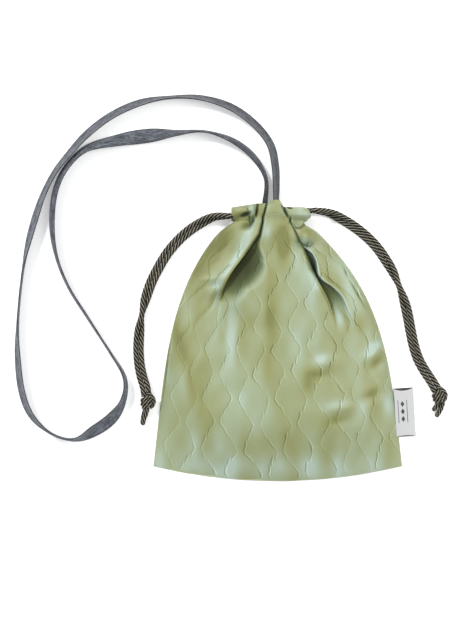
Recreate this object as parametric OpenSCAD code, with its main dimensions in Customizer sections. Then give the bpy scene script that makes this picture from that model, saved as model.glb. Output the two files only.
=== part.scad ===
// Drawstring gift sack lying on its back, with two twisted cords and a shoulder strap.
// Millimetres. +Z is up, off the table; +Y runs from the bottom seam to the mouth.
// The origin is on the flat outer face of the back panel, where the sack rests.

/* [Sack] */
// Width of the sack at the bottom corners
sack_w = 250; // [240:1:260]
// Distance from the table's plane to the top of the filled front panel
sack_t = 29; // [27:1:32]
// Width of the neck, with the cords drawn
neck_w = 80; // [76:1:84]
// How far the bottom seam bows out below its corners
bottom_bow = 15; // [8:1:20]
// Thickness of the outer cloth
cloth_t = 0.8; // [0.6:0.1:1]
// Thickness of the lining
lining_t = 0.4; // [0.3:0.1:0.5]

/* [Casing] */
// Height of each casing, from its stitch line to its top fold
casing_h = 17; // [16:0.5:19]
// Free height of the mouth between the two casings
mouth_gap = 8.5; // [8:0.5:10]

/* [Cords] */
// Diameter of the twisted drawstring
cord_d = 5; // [4.6:0.1:5.2]
// Radius of each knot
knot_r = 7.6; // [7:0.2:8]
// Height of each knot, along the strands
knot_l = 14; // [12:1:15]

/* [Strap] */
// Width of the shoulder strap's tape
strap_w = 15; // [14:0.5:16]
// Thickness of the tape
strap_t = 1.8; // [1.4:0.1:2]

/* [Label] */
// How far the folded label stands out from the side seam
label_w = 20; // [16:1:22]
// Length of the label along the seam
label_l = 49; // [40:1:52]

/* [Hidden] */

gap = 0.3;                 // clearance between parts that move past each other
neck_x = -6;               // middle of the gathered neck
neck_y = 121;              // line where the panels end and the casings begin
corner_y = -124;           // height of the bottom corners
lean = -11.5;              // how far the panels lean sideways as they reach the neck
cord_r = cord_d / 2;
channel = cord_d + 2 * gap;                      // inside height of a casing
back_z = cloth_t + channel / 2;                  // cord axes in the back casing
casing_t = channel + 2 * cloth_t;                // outside thickness of a casing
front_z0 = casing_t + mouth_gap;                 // underside of the front casing
front_z = front_z0 + cloth_t + channel / 2;      // cord axes in the front casing
exit_z = (back_z + front_z) / 2;
track = (cord_d + gap) / 2 + 0.05;               // each cord's distance from the casing's middle
casing_y = neck_y + casing_h / 2;
left_y = casing_y - track;                       // the left cord uses the lower track
right_y = casing_y + track;                      // the right cord uses the upper one
neck_left = neck_x - neck_w / 2;
neck_right = neck_x + neck_w / 2;
cord_out = 1;              // how far a run stands out of its casing
thread_r = 0.25;
thread_z = cloth_t + lining_t + thread_r + 0.03;
seam_inset = 5;
inner_wall_w = 36;         // the casings' inner walls stop short, where the cords turn back

columns = [-1, -0.93, -0.8, -0.6, -0.3, 0, 0.3, 0.6, 0.8, 0.93, 1];
rows = [0, 0.03, 0.08, 0.16, 0.28, 0.42, 0.56, 0.68, 0.78, 0.87, 0.94, 1];

// Each pair of cord strands, from the casing to its knot:
// [x, y, height of the pair's middle, half the strands' spacing, turn of the pair in degrees].
// The strands leave the casings one above the other, come to lie side by side, with the upper
// one on the outside, and ride up over each other once on the way.
stacked = (front_z - back_z) / 2;
left_pair = [
    [neck_left - cord_out - gap, left_y, exit_z, stacked, 90],
    [-51, left_y, exit_z, stacked, 90], [-64, 126.2, 7.5, 4.6, 106], [-76, 121, 4.4, 3, 144],
    [-88, 113.5, 2.8, 2.7, 174], [-100, 103, 2.6, 2.7, 180], [-111, 90, 2.6, 2.7, 180],
    [-119.5, 76, 2.6, 2.7, 180], [-127, 61, 2.6, 2.7, 176], [-132.5, 45, 4, 2.7, 150],
    [-136.5, 28, 5.3, 2.7, 90], [-139, 11, 4, 2.7, 150], [-140, -6, 2.6, 2.7, 176],
    [-139, -21, 2.6, 2.7, 180], [-136.6, -33, 4, 2.7, 180], [-133.2, -43.5, 6.8, 2.7, 180],
    [-131.9, -50.5, knot_r, 2.7, 180]
];
right_pair = [
    [neck_right + cord_out + gap, right_y, exit_z, stacked, 90],
    [39, right_y, exit_z, stacked, 90], [52, 130, 7.5, 4.6, 74], [64, 124.5, 4.4, 3, 36],
    [77, 116.5, 2.8, 2.7, 6], [89, 107, 2.6, 2.7, 0], [99.5, 96, 2.6, 2.7, 0],
    [108, 84, 2.8, 2.7, 8], [115.5, 71, 4.6, 2.7, 45], [121.5, 57, 5.3, 2.7, 90],
    [126.5, 43, 4.6, 2.7, 45], [130.5, 28, 2.8, 2.7, 5], [133.5, 12, 2.6, 2.7, 0],
    [137, -4, 2.6, 2.7, 0], [141.5, -17, 2.6, 2.7, 0], [147.5, -28, 4.2, 2.7, 0],
    [153.5, -37.5, 6.8, 2.7, 0], [158.1, -45.4, knot_r, 2.7, 0]
];
left_knot = [-130.5, -59.2, knot_r];
right_knot = [161.5, -53.6, knot_r];
left_knot_turn = 9;        // how far each knot's axis leans from +Y
right_knot_turn = 22;

// Each tail's middle line, from its knot down to its cut end.
left_tail_lines = [
    [[-133.2, -67.6, 4.8], [-134.8, -73, 3], [-135.6, -78, 2.6], [-135.4, -83, 2.6]],
    [[-131.3, -67.8, 10.2], [-132.8, -72.5, 8.6], [-134.4, -76.5, 8], [-135, -81, 7.9]]
];
right_tail_lines = [
    [[159.6, -63, 4.4], [157.6, -65.8, 2.9], [155.8, -68.5, 2.6]],
    [[164.6, -62.6, 5.2], [163.6, -66.5, 3.2], [161.4, -70.5, 2.6], [158.8, -74.5, 2.6]]
];

// The strap's middle line, from the mouth round its loop and back: [x, y, roll of the tape].
// A roll of 0 or 180 lies flat on the table and 90 stands on edge.
strap_route = [
    [-2.5, 138.3, 72], [-2.5, 158, 64], [-3.5, 178, 60], [-8.5, 199, 58],
    [-24, 219, 56], [-48, 236, 56], [-78, 245, 64], [-108, 245.5, 73],
    [-138, 240, 57], [-166, 227.5, 54], [-190, 209.5, 54], [-208, 190, 60],
    [-223.5, 170, 64], [-235, 147, 62], [-242.5, 125, 57], [-249, 102, 62],
    [-254.5, 77, 78], [-258.5, 46, 82], [-260.5, 16, 77], [-260, -14, 62],
    [-256, -48, 58], [-246, -73, 62], [-226, -91, 80], [-204, -96.5, 76],
    [-184, -87.5, 42], [-167, -75, 42], [-155.5, -57, 72], [-154, -35, 84],
    [-168, -10, 92], [-190, 24, 98], [-209, 54, 99], [-221.5, 84, 102],
    [-227, 115, 114], [-224.5, 149, 117], [-213.5, 175, 118], [-193, 195, 122],
    [-163, 203.5, 145], [-134, 208, 170], [-104, 211, 122], [-74, 212, 98],
    [-46, 204, 114], [-24, 187, 116], [-11.5, 164, 102], [-12.5, 138.3, 108]
];

function mix(a, b, t) = a + (b - a) * t;
function unit(v) = v / norm(v);

// Catmull-Rom curve through the points p, with n steps between each two.
function curve_at(a, b, c, d, t) =
    0.5 * (2 * b + (c - a) * t + (2 * a - 5 * b + 4 * c - d) * t * t
        + (3 * b - a - 3 * c + d) * t * t * t);
function curve(p, n) = let (last = len(p) - 1) [
    for (i = [0:last - 1], k = [0:n - 1])
        curve_at(p[max(i - 1, 0)], p[i], p[i + 1], p[min(i + 2, last)], k / n),
    p[last]
];
function heading(line, i) =
    unit(line[min(i + 1, len(line) - 1)] - line[max(i - 1, 0)]);
function beside(d) = unit([-d[1], d[0], 0]);

// Half the panels' width, their sideways lean and their bottom edge, from seam (0) to neck (1).
function half_w(v) =
    neck_w / 2 + (sack_w - neck_w) / 2 * (1 - 0.32 * v - 0.68 * pow(v, 4));
function lean_x(v) = lean * pow(v, 3) + (neck_x - lean) * pow(v, 40);
function bottom_y(u) = corner_y - bottom_bow * (1 - u * u);
function plan(u, v) =
    [lean_x(v) + u * half_w(v), mix(bottom_y(u), neck_y, v)];

// Height of the front over the table, from its rim on the back panel to its crown.
rim_z = cloth_t + lining_t + gap;
neck_rise = front_z0 + casing_t - rim_z;
function crown(v) =
    v < 0.28 ? sin(90 * v / 0.28) * (sack_t - rim_z)
    : mix(sack_t - rim_z, neck_rise, pow((v - 0.28) / 0.72, 1.5));
function arch(u, v) = pow(1 - pow(abs(u), 2.2), mix(0.75, 0.5, v));

// One surface of the front, set in from its outer face.
function front_grid(inset) = [
    for (v = rows) [
        for (u = columns)
            let (at = plan(u * (1 - inset / half_w(v)), v))
                [at[0], at[1] + (v == 0 ? inset : 0),
                 rim_z + max(0, crown(v) * arch(u, v) - inset)]
    ]
];

// Triangles between two rings. The second half is split along the other diagonal, so that the
// two faces of a bent strip are split alike.
function ring_faces(a, b, n) = [
    for (i = [0:n - 1]) let (j = (i + 1) % n)
        each i < n / 2 ? [[a + i, b + i, b + j], [a + i, b + j, a + j]]
            : [[a + i, b + i, a + j], [a + j, b + i, b + j]]
];

// Triangles that close a ring of n points: a fan for a round one, and for a bent strip,
// whose second half runs back along its first, a row of pairs across it.
function fan(n) = [for (i = [1:n - 2]) [0, i, i + 1]];
function across(n) = [
    for (i = [0:n / 2 - 2]) each [[i, i + 1, n - 1 - i], [i + 1, n - 2 - i, n - 1 - i]]
];

// A closed solid through rings of n points each, with both ends closed by the same triangles.
module skin(rings, end) {
    n = len(rings[0]);
    last = (len(rings) - 1) * n;
    sides = [for (k = [0:len(rings) - 2]) each ring_faces(k * n, (k + 1) * n, n)];
    far = [for (t = end) [last + t[0], last + t[2], last + t[1]]];
    polyhedron([for (r = rings) each r], concat(sides, end, far));
}

module tube(line, r, sides = 8) {
    skin([
        for (i = [0:len(line) - 1])
            let (d = heading(line, i), s = beside(d), t = cross(d, s))
                [for (k = [0:sides - 1]) let (a = 360 * k / sides)
                    line[i] + r * (cos(a) * s + sin(a) * t)]
    ], fan(sides));
}

// A shell between two grids of points.
module shell(outer, inner) {
    n = len(outer[0]);
    skin([for (k = [0:len(outer) - 1]) concat(outer[k], [for (i = [n - 1:-1:0]) inner[k][i]])],
         across(2 * n));
}

function outline(inset, step = 0.05) = concat(
    [for (u = [-1:step:1]) plan(u * (1 - inset / half_w(0)), 0) + [0, inset]],
    [for (v = [step:step:1]) plan(1 - inset / half_w(v), v)],
    [for (v = [1:-step:step]) plan(-1 + inset / half_w(v), v)]
);

module panel_plate(inset, z, t) {
    translate([0, 0, z]) linear_extrude(t) polygon(outline(inset));
}

// A casing: one turn of cloth round both cord tracks, with a short inner wall.
module casing() {
    inner_x = neck_x - inner_wall_w / 2;
    difference() {
        translate([neck_left, neck_y, 0]) cube([neck_w, casing_h, casing_t]);
        translate([neck_left - 1, neck_y + cloth_t, cloth_t])
            cube([neck_w + 2, casing_h - 2 * cloth_t, channel]);
        for (x = [neck_left - 1, inner_x + inner_wall_w])
            translate([x, neck_y + cloth_t, cloth_t + channel - 0.1])
                cube([inner_x - neck_left + 1, casing_h - 2 * cloth_t, cloth_t + 1]);
    }
}

// Short thread stitches in a row along X.
module stitch_row(y, z, count = 14, length = 3.4) {
    pitch = neck_w / count;
    for (i = [0:count - 1])
        translate([neck_left + (i + 0.5) * pitch - length / 2, y, z])
            rotate([0, 90, 0]) cylinder(h = length, r = thread_r, $fn = 16);
}

// The seams' threads lie on the back lining, a little inside the panels' edges.
function seam_line(side) = [
    for (v = [0.12:0.07:0.96]) let (p = plan(side * (1 - seam_inset / half_w(v)), v))
        [p[0], p[1], thread_z]
];
function bottom_line() = [
    for (u = [-0.7:0.1:0.71]) let (p = plan(u, 0)) [p[0], p[1] + seam_inset + 1, thread_z]
];

// A drawstring's straight run in one casing, with half of its turn at the far end.
module cord_run(y, z, side, up) {
    bend = (front_z - back_z) / 2;
    out_x = side < 0 ? neck_left - cord_out : neck_right + cord_out;
    far_x = side < 0 ? neck_right - bend - cord_r - 1 : neck_left + bend + cord_r + 1;
    translate([min(out_x, far_x), y, z])
        rotate([0, 90, 0]) cylinder(h = abs(far_x - out_x), r = cord_r, $fn = 32);
    translate([far_x, y, z + up * bend])
        rotate([90, 0, 0]) rotate([0, 0, quarter_start(side, up)])
            rotate_extrude(angle = 86, $fn = 48)
                translate([bend, 0]) circle(r = cord_r, $fn = 24);
}
function quarter_start(side, up) =
    side < 0 ? (up > 0 ? 270 : 4) : (up > 0 ? 184 : 90);

// A strand of a pair: a straight stretch out of the casing, then a smooth curve to its knot.
// The upper one (sign 1) stops a little short, so that it clears the knot when both are lifted
// with the mouth open.
function strand(pair, sign) = let (
    mid = concat([pair[0]], curve([for (i = [1:len(pair) - 1]) pair[i]], 2)),
    last = len(mid) - 1 - (sign > 0 ? 3 : 0)
) [
    for (i = [0:last])
        let (
            line = [for (m = mid) [m[0], m[1], 0]],
            s = beside(heading(line, i)),
            m = mid[i],
            reach = sign * m[3]
        ) [m[0], m[1], m[2]] + reach * (cos(m[4]) * s + sin(m[4]) * [0, 0, 1])
];

// A knot: a barrel with rounded sides, its axis level and along the strands.
module knot(at, turn) {
    end_r = cord_d + 1.3;
    side_r = (pow(knot_l / 2, 2) + pow(knot_r - end_r, 2)) / (2 * (knot_r - end_r));
    translate(at) rotate([0, 0, turn]) rotate([90, 0, 0])
        rotate_extrude($fn = 48) intersection() {
            translate([0, -knot_l / 2]) square([knot_r, knot_l]);
            translate([knot_r - side_r, 0]) circle(r = side_r, $fn = 128);
        }
}

module tails(lines) {
    for (points = lines) tube(curve(points, 2), cord_r);
}

module strap_tape() {
    mid = curve(strap_route, 2);
    flat = [for (m = mid) [m[0], m[1], 0]];
    w = strap_w / 2;
    t = strap_t / 2;
    section = [[w, t / 2], [w - t, t], [t - w, t], [-w, t / 2],
               [-w, -t / 2], [t - w, -t], [w - t, -t], [w, -t / 2]];
    skin([
        for (i = [0:len(mid) - 1])
            let (
                s = beside(heading(flat, i)),
                roll = mid[i][2],
                wide = cos(roll) * s + sin(roll) * [0, 0, 1],
                through = -sin(roll) * s + cos(roll) * [0, 0, 1],
                z = 0.1 + w * abs(sin(roll)) + t * abs(cos(roll))
            ) [for (p = section) flat[i] + [0, 0, z] + p[0] * wide + p[1] * through]
    ], fan(len(section)));
}

// The strap's two ends, folded in half and sewn inside the back casing.
strap_end_x = [-12.5, -2.5];
strap_end_w = strap_w / 2;
strap_end_t = 2 * strap_t;
strap_end_l = 14;
strap_end_y = neck_y + casing_h - strap_end_l;

module strap_end(i) {
    translate([strap_end_x[i] - strap_end_w / 2, strap_end_y, casing_t])
        cube([strap_end_w, strap_end_l, strap_end_t]);
}

// The folded label stands off the side seam by a hair, and its inner edge is cut along the seam.
label_at = [115.8, -46, 0.2];
label_turn = 3.5;          // direction of the label's fold from -Y
seam_turn = 7.2;           // direction of the side seam beside it
label_fold = 2.4;          // outside thickness of the folded label
label_cloth = 0.4;

module label_loop() {
    r = label_fold / 2;
    rotate([90, 0, 0]) linear_extrude(label_l) difference() {
        union() {
            square([label_w - r, label_fold]);
            translate([label_w - r, r]) circle(r = r, $fn = 32);
        }
        translate([-1, label_cloth]) square([label_w - r + 1, label_fold - 2 * label_cloth]);
        translate([label_w - r, r]) circle(r = r - label_cloth, $fn = 32);
    }
}

module label() {
    translate(label_at) difference() {
        rotate([0, 0, label_turn]) label_loop();
        rotate([0, 0, seam_turn]) translate([1.2 - label_w, -label_l - 5, -1])
            cube([label_w, label_l + 10, label_fold + 2]);
    }
}

module back_panel() color("#a9b28c") panel_plate(0, 0, cloth_t);
module back_lining() color("#c9cdb4") panel_plate(2.5, cloth_t + 0.02, lining_t);
module back_casing() color("#b1b384") casing();
module back_casing_stitching() color("#dfe3c6")
    stitch_row(neck_y + 1.2, casing_t + 0.27, count = 4, length = 5);
module left_seam_thread() color("#dfe3c6") tube(seam_line(-1), thread_r, 6);
module right_seam_thread() color("#dfe3c6") tube(seam_line(1), thread_r, 6);
module bottom_seam_thread() color("#dfe3c6") tube(bottom_line(), thread_r, 6);
module strap_end_left() color("#6f7274") strap_end(0);
module strap_end_right() color("#6f7274") strap_end(1);
module strap_bartacks() color("#4d5052")
    for (x = strap_end_x)
        translate([x - 2.5, strap_end_y + 3, casing_t + strap_end_t]) cube([5, 1.6, 0.5]);

module front_panel() color("#b4bd97") shell(front_grid(0), front_grid(cloth_t));
module front_lining() color("#c9cdb4")
    shell(front_grid(cloth_t + 0.25), front_grid(cloth_t + 0.25 + lining_t));
module front_casing() color("#b1b384")
    translate([0, 0, front_z0 + casing_t]) mirror([0, 0, 1]) casing();
module front_casing_stitching() color("#dfe3c6")
    stitch_row(neck_y + 1.4, front_z0 + casing_t + 0.27);

module left_cord_back_run() color("#4b4941") cord_run(left_y, back_z, -1, 1);
module left_cord_front_run() color("#4b4941") cord_run(left_y, front_z, -1, -1);
module left_cord_lower_strand() color("#4b4941") tube(strand(left_pair, -1), cord_r);
module left_cord_upper_strand() color("#4b4941") tube(strand(left_pair, 1), cord_r);
module left_knot() color("#4b4941") knot(left_knot, left_knot_turn);
module left_tails() color("#4b4941") tails(left_tail_lines);

module right_cord_back_run() color("#4b4941") cord_run(right_y, back_z, 1, 1);
module right_cord_front_run() color("#4b4941") cord_run(right_y, front_z, 1, -1);
module right_cord_lower_strand() color("#4b4941") tube(strand(right_pair, -1), cord_r);
module right_cord_upper_strand() color("#4b4941") tube(strand(right_pair, 1), cord_r);
module right_knot() color("#4b4941") knot(right_knot, right_knot_turn);
module right_tails() color("#4b4941") tails(right_tail_lines);

module shoulder_strap() color("#85898c") strap_tape();
module side_label() color("#f2f2f0") label();

back_panel();
back_lining();
back_casing();
back_casing_stitching();
left_seam_thread();
right_seam_thread();
bottom_seam_thread();
strap_end_left();
strap_end_right();
strap_bartacks();
front_panel();
front_lining();
front_casing();
front_casing_stitching();
left_cord_back_run();
left_cord_front_run();
left_cord_lower_strand();
left_cord_upper_strand();
left_knot();
left_tails();
right_cord_back_run();
right_cord_front_run();
right_cord_lower_strand();
right_cord_upper_strand();
right_knot();
right_tails();
shoulder_strap();
side_label();
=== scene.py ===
"""Looks of the drawstring gift sack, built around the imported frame.

Shapes are worked out in millimetres in the frame's own axes, and add_mesh() turns them into metres.
"""
import math

import bpy
import numpy as np
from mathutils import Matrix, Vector


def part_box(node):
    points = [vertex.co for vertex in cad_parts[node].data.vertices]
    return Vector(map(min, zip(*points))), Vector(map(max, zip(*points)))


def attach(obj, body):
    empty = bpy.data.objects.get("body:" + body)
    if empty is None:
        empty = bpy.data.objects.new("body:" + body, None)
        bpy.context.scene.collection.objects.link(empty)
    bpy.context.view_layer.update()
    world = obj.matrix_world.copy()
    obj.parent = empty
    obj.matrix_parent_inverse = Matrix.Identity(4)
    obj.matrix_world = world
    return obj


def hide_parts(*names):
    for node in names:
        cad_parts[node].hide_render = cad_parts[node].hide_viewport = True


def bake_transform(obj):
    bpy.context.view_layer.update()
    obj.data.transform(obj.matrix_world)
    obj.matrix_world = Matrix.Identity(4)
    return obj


MM = 0.001
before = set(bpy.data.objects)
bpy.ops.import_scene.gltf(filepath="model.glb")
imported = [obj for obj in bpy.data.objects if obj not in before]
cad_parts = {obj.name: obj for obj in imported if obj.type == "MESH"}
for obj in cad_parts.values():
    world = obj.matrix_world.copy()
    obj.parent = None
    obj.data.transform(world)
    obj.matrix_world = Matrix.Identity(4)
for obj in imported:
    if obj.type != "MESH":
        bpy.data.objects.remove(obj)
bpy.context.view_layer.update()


def node_box(node):
    """Lowest and highest corner of a CAD node, in millimetres."""
    low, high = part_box(node)
    return np.array(low) / MM, np.array(high) / MM


# ---------------------------------------------------------------- camera, floor and light

VIEW_CENTRE = (-0.0435, 0.0325)      # the point of the table under the camera
CAMERA_HEIGHT = 1.476
LENS, SENSOR = 85, 36


def add_camera():
    data = bpy.data.cameras.new("camera")
    data.lens, data.sensor_width = LENS, SENSOR
    camera = bpy.data.objects.new("camera", data)
    camera.location = (*VIEW_CENTRE, CAMERA_HEIGHT)
    bpy.context.scene.collection.objects.link(camera)
    bpy.context.scene.camera = camera


def add_area_light(name, at, size, watts, colour):
    data = bpy.data.lights.new(name, "AREA")
    data.shape, data.size = "DISK", size
    data.energy, data.color = watts, colour
    light = bpy.data.objects.new(name, data)
    light.location = at
    light.rotation_euler = Vector(at).to_track_quat("Z", "Y").to_euler()
    bpy.context.scene.collection.objects.link(light)


def add_surroundings():
    bpy.context.scene.view_settings.view_transform = "Standard"
    world = bpy.data.worlds.new("world")
    world.use_nodes = True
    background = world.node_tree.nodes["Background"]
    background.inputs["Color"].default_value = (0.96, 0.98, 1, 1)
    background.inputs["Strength"].default_value = 0.66
    bpy.context.scene.world = world
    add_area_light("window", (-1.2, 1.2, 1.75), 0.45, 40, (1, 0.99, 0.97))
    add_area_light("fill", (1.5, 0.3, 1.6), 1.2, 24, (1, 0.99, 0.96))
    paper = Nodes("floor", Base_Color=grey(0.93), Roughness=0.9, Specular_IOR_Level=0.1,
                  Emission_Color=grey(1), Emission_Strength=0.28)
    mesh = bpy.data.meshes.new("floor")
    side = 60
    mesh.from_pydata([(-side, -side, 0), (side, -side, 0), (side, side, 0), (-side, side, 0)],
                     [], [(0, 1, 2, 3)])
    mesh.materials.append(paper.material)
    floor = bpy.data.objects.new("floor", mesh)
    floor.location.z = -0.0004
    bpy.context.scene.collection.objects.link(floor)


# ---------------------------------------------------------------- small maths

def smooth(low, high, x):
    t = np.clip((x - low) / (high - low), 0, 1)
    return t * t * (3 - 2 * t)


def mix(a, b, t):
    return a + (b - a) * t


def hill(x, y, cx, cy, rx, ry, turn=0):
    """A soft round hill of height 1, its axes turned by that many degrees."""
    c, s = math.cos(math.radians(turn)), math.sin(math.radians(turn))
    dx, dy = x - cx, y - cy
    return np.exp(-((dx * c + dy * s) / rx) ** 2 - ((dy * c - dx * s) / ry) ** 2)


def hills(x, y, rows):
    """The sum of hills, each x, y, radii, turn and height."""
    return sum(height * hill(x, y, *place) for *place, height in rows)


def value_noise(x, y, size, seed):
    """Smooth noise from -1 to 1 with features of that size."""
    table = np.random.default_rng(seed).uniform(-1, 1, (64, 64))
    gx, gy = x / size + 1000, y / size + 1000
    i, j = np.floor(gx).astype(int), np.floor(gy).astype(int)
    fx, fy = gx - i, gy - j
    fx, fy = fx * fx * (3 - 2 * fx), fy * fy * (3 - 2 * fy)
    corner = lambda a, b: table[(i + a) % 64, (j + b) % 64]
    return mix(mix(corner(0, 0), corner(1, 0), fx), mix(corner(0, 1), corner(1, 1), fx), fy)


def curve(points, steps):
    """Catmull-Rom curve through the points."""
    p = np.array(points, float)
    last = len(p) - 1
    out = []
    for i in range(last):
        a, b, c, d = p[max(i - 1, 0)], p[i], p[i + 1], p[min(i + 2, last)]
        for k in range(steps):
            t = k / steps
            out.append(0.5 * (2 * b + (c - a) * t + (2 * a - 5 * b + 4 * c - d) * t * t
                              + (3 * b - a - 3 * c + d) * t ** 3))
    return np.array(out + [p[last]])


def unit(v):
    return v / np.maximum(np.linalg.norm(v, axis=-1, keepdims=True), 1e-9)


def arc_length(line):
    return np.concatenate([[0], np.cumsum(np.linalg.norm(np.diff(line, axis=0), axis=1))])


def evenly(line, spacing):
    """The same line with points evenly spaced."""
    arc = arc_length(line)
    at = np.linspace(0, arc[-1], max(2, round(arc[-1] / spacing) + 1))
    return np.stack([np.interp(at, arc, line[:, k]) for k in range(line.shape[1])], 1)


def frames(line):
    """Two cross directions that don't twist along the line."""
    tangent = unit(np.gradient(line, axis=0))
    side = np.zeros_like(line)
    n = np.cross(tangent[0], [0, 0, 1.0])
    if np.linalg.norm(n) < 0.1:
        n = np.cross(tangent[0], [0, 1.0, 0])
    for i, t in enumerate(tangent):
        n = unit(n - t * np.dot(n, t))
        side[i] = n
    return side, np.cross(tangent, side)


def polyline_distance(x, y, points):
    """Signed distance from a line (positive on its left as it runs), and the line's own values
    (columns after x and y) at the nearest place."""
    p = np.array(points, float)
    best = np.full(x.shape, 1e9)
    signed = np.zeros(x.shape)
    values = [np.zeros(x.shape) for _ in range(p.shape[1] - 2)]
    for a, b in zip(p[:-1], p[1:]):
        d = b[:2] - a[:2]
        t = np.clip(((x - a[0]) * d[0] + (y - a[1]) * d[1]) / (d @ d), 0, 1)
        dx, dy = x - a[0] - t * d[0], y - a[1] - t * d[1]
        distance = np.hypot(dx, dy)
        nearer = distance < best
        best = np.where(nearer, distance, best)
        sign = np.where(d[0] * dy - d[1] * dx >= 0, 1, -1)
        signed = np.where(nearer, distance * sign, signed)
        for k, v in enumerate(values):
            values[k] = np.where(nearer, mix(a[k + 2], b[k + 2], t), v)
    return signed, values


# ---------------------------------------------------------------- meshes

def add_mesh(name, points, faces, material, values=None):
    """A smooth mesh from points in millimetres. values are named floats, one per point."""
    mesh = bpy.data.meshes.new(name)
    mesh.from_pydata((np.asarray(points, float) * MM).tolist(), [], [list(map(int, f)) for f in faces])
    mesh.polygons.foreach_set("use_smooth", [True] * len(mesh.polygons))
    for key, data in (values or {}).items():
        attribute = mesh.attributes.new(key, "FLOAT", "POINT")
        attribute.data.foreach_set("value", np.asarray(data, np.float32))
    mesh.materials.append(material)
    mesh.update()
    obj = bpy.data.objects.new(name, mesh)
    bpy.context.scene.collection.objects.link(obj)
    return obj


def grid_faces(rows, cols, closed=False, flip=False):
    r, c = np.meshgrid(np.arange(rows - 1), np.arange(cols if closed else cols - 1), indexing="ij")
    a = r * cols + c
    b = r * cols + (c + 1) % cols
    quads = np.stack([a, b, b + cols, a + cols], -1).reshape(-1, 4)
    return quads[:, ::-1] if flip else quads


def capped_faces(rows, cols):
    """Faces of a row of closed rings, with a flat cap at each end."""
    caps = [list(range(cols))[::-1], [(rows - 1) * cols + k for k in range(cols)]]
    return grid_faces(rows, cols, closed=True).tolist() + caps


def swept(line, reach, angle):
    """Points and faces of a solid along the line: reach is its radius at each ring and angle."""
    side, up = frames(line)
    points = (line[:, None] + (reach * np.cos(angle))[..., None] * side[:, None]
              + (reach * np.sin(angle))[..., None] * up[:, None])
    return points.reshape(-1, 3), capped_faces(*points.shape[:2])


def joined(parts):
    """Joins parts, each its points, its faces and any rows of values per point, into one."""
    points, faces, values, start = [], [], [], 0
    for p, f, *v in parts:
        points.append(p)
        faces.extend([[k + start for k in face] for face in f])
        values.append(v)
        start += len(p)
    return np.concatenate(points), faces, [np.concatenate(v) for v in zip(*values)]


def thread(line, radius):
    """Points and faces of a thin round thread, in millimetres like its radius."""
    angle = np.linspace(0, 2 * math.pi, THREAD_SIDES, endpoint=False)
    return swept(line, np.full((len(line), THREAD_SIDES), radius), angle)


THREAD_SIDES = 6
PLIES = 5
LAY = 25.0                       # length of one full turn of the cord's plies


def rope(line, radius, rounded_end=False):
    """A twisted cord: plies as lobes that wind the S way round the line. Besides its points and
    faces it gives each point's position counted in plies, and its distance along in mm."""
    arc = arc_length(line)
    angle = np.linspace(0, 2 * math.pi, PLIES * 7, endpoint=False)[None, :]
    twist = -2 * math.pi * arc[:, None] / LAY
    ply = (angle - twist) * PLIES / (2 * math.pi)
    reach = radius * (0.8 + 0.2 * np.abs(np.cos(math.pi * ply)) ** 0.75)
    if rounded_end:
        left = np.clip((arc[-1] - arc) / radius, 0, 1)[:, None]
        reach = reach * np.sqrt(np.clip(1 - (1 - left) ** 2, 0.04, 1))
    return *swept(line, reach, angle), ply.ravel(), np.repeat(arc, ply.shape[1])


# ---------------------------------------------------------------- materials

RIBS = 9.0                       # lengthwise ribs of the strap tape
STRAP_LENGTH = 1200              # about, for the tape's colour along it


class Nodes:
    """A material's node tree, with short calls for the nodes used here."""

    def __init__(self, name, **sockets):
        self.material = bpy.data.materials.new(name)
        self.material.use_nodes = True
        self.tree = self.material.node_tree
        self.shader = self.tree.nodes["Principled BSDF"]
        for key, value in sockets.items():
            self.shader.inputs[key.replace("_", " ")].default_value = value

    def node(self, kind, **settings):
        node = self.tree.nodes.new("ShaderNode" + kind)
        for key, value in settings.items():
            setattr(node, key, value)
        return node

    def link(self, out, into):
        self.tree.links.new(out, into)

    def math(self, operation, a, b=0.0):
        node = self.node("Math", operation=operation)
        for socket, value in zip(node.inputs, (a, b)):
            if isinstance(value, (int, float)):
                socket.default_value = value
            else:
                self.link(value, socket)
        return node.outputs[0]

    def ramp(self, factor, *stops):
        node = self.node("ValToRGB")
        while len(node.color_ramp.elements) < len(stops):
            node.color_ramp.elements.new(0.5)
        for element, (place, colour) in zip(node.color_ramp.elements, stops):
            element.position = place
            element.color = colour
        self.link(factor, node.inputs[0])
        return node.outputs[0]

    def noise(self, scale, detail=2.0, coordinates=None):
        node = self.node("TexNoise")
        node.inputs["Scale"].default_value = scale
        node.inputs["Detail"].default_value = detail
        self.link(coordinates or self.object_space(), node.inputs["Vector"])
        return node.outputs["Fac"]

    def object_space(self):
        return self.node("TexCoord").outputs["Object"]

    def attribute(self, name):
        return self.node("Attribute", attribute_name=name).outputs["Fac"]

    def wave(self, direction, scale, **sockets):
        """Bands in the object's own space."""
        node = self.node("TexWave", wave_type="BANDS", bands_direction=direction)
        for key, value in {"Scale": scale, **sockets}.items():
            node.inputs[key].default_value = value
        self.link(self.object_space(), node.inputs["Vector"])
        return node.outputs["Fac"]

    def flecks(self, noise, amount):
        """Noise moved to lie evenly round 0."""
        return self.math("MULTIPLY", self.math("SUBTRACT", noise, 0.5), amount)

    def paint(self, colour, *shades):
        """Links the colour to the base colour, multiplied by each shade."""
        for shade in shades:
            node = self.node("MixRGB", blend_type="MULTIPLY")
            node.inputs[0].default_value = 1
            self.link(colour, node.inputs[1])
            self.link(shade, node.inputs[2])
            colour = node.outputs[0]
        self.link(colour, self.shader.inputs["Base Color"])

    def bump(self, height, strength, distance):
        node = self.node("Bump")
        node.inputs["Strength"].default_value = strength
        node.inputs["Distance"].default_value = distance
        self.link(height, node.inputs["Height"])
        self.link(node.outputs[0], self.shader.inputs["Normal"])


LIGHT_LEVEL = 1.3                # how brightly the lights show a level white surface


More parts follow.
